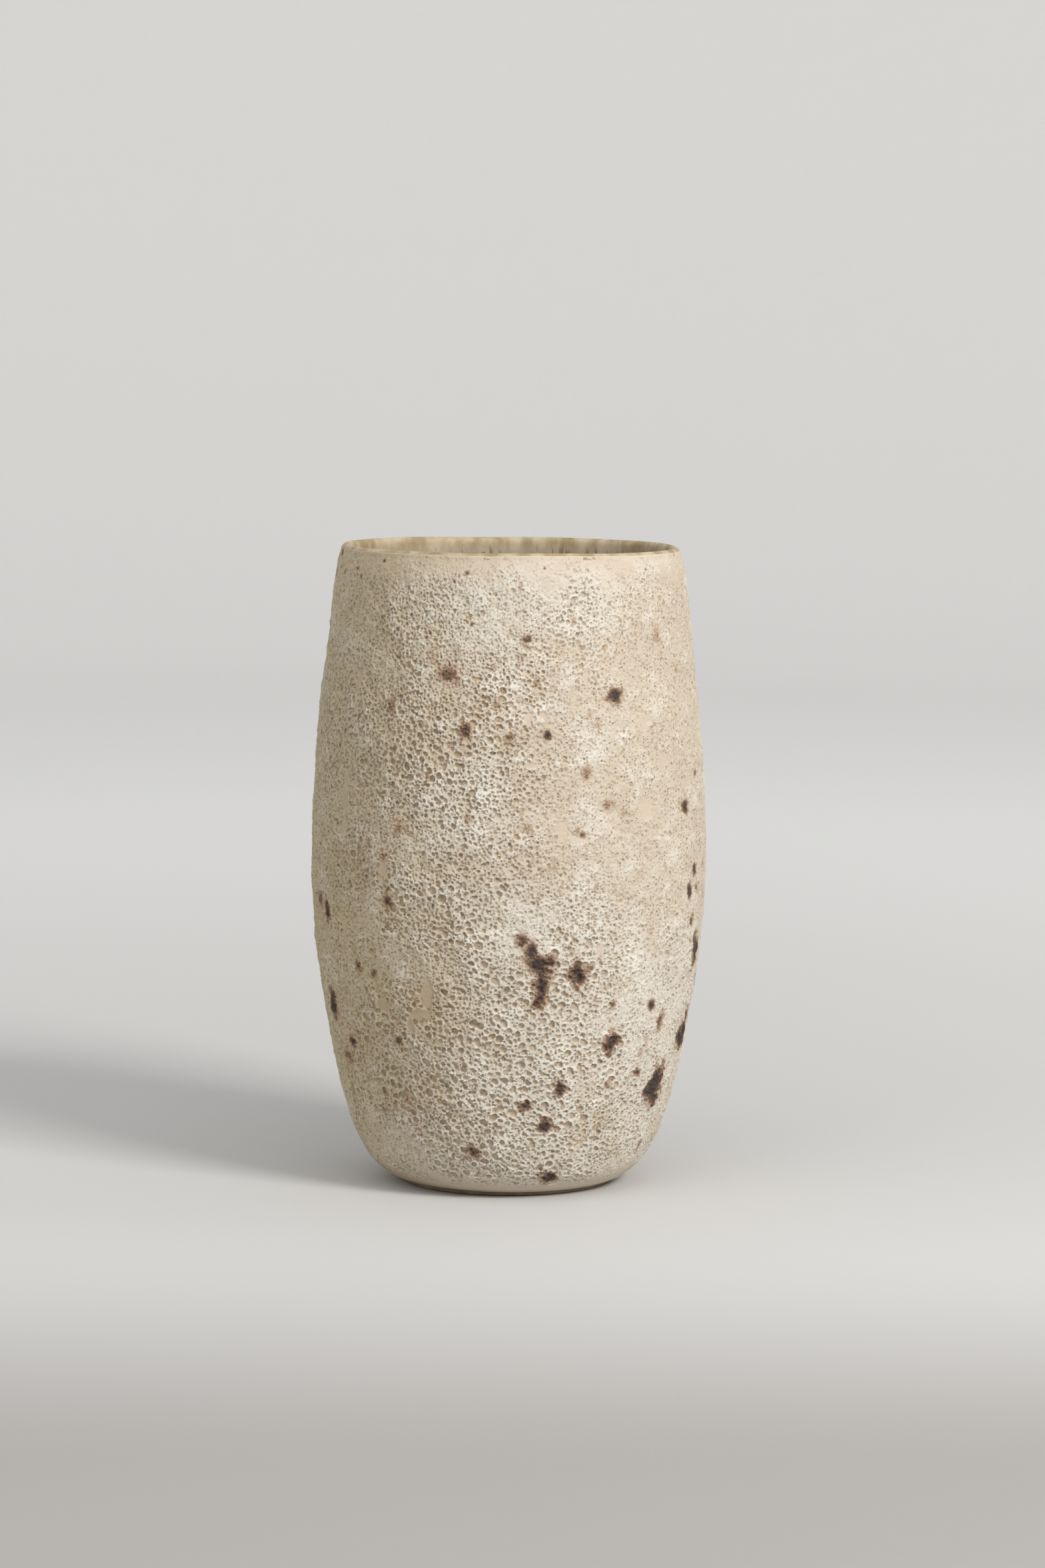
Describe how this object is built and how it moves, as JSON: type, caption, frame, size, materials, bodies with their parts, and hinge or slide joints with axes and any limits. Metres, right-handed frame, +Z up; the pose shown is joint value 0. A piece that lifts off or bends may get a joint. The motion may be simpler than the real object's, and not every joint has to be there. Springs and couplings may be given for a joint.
{
  "type": "stoneware vase",
  "caption": "Tall barrel-shaped stoneware vase with a rounded lip, a trimmed foot ring and a rough cratered glaze outside over a smooth liner glaze.",
  "frame": {"origin": "centre of the foot ring, on the surface the vase stands on", "axes": "+Z up along the axis the vase was thrown on; -Y is the side that faces the viewer"},
  "size_m": [0.1048, 0.1048, 0.17],
  "materials": {
    "bare_clay": "unglazed iron-bearing stoneware, matt, fine grain",
    "slip": "smooth matt pinkish-tan slip, fine grain",
    "crater_glaze": "matt cream foamed glaze, closely cratered, iron spots",
    "liner_glaze": "semi-gloss olive-tan glaze, brown speckles"
  },
  "bodies": {
    "root": {"clay_body": "bare_clay", "base_slip": "slip", "crater_glaze": "crater_glaze", "liner_glaze": "liner_glaze"}
  },
  "joints": []
}
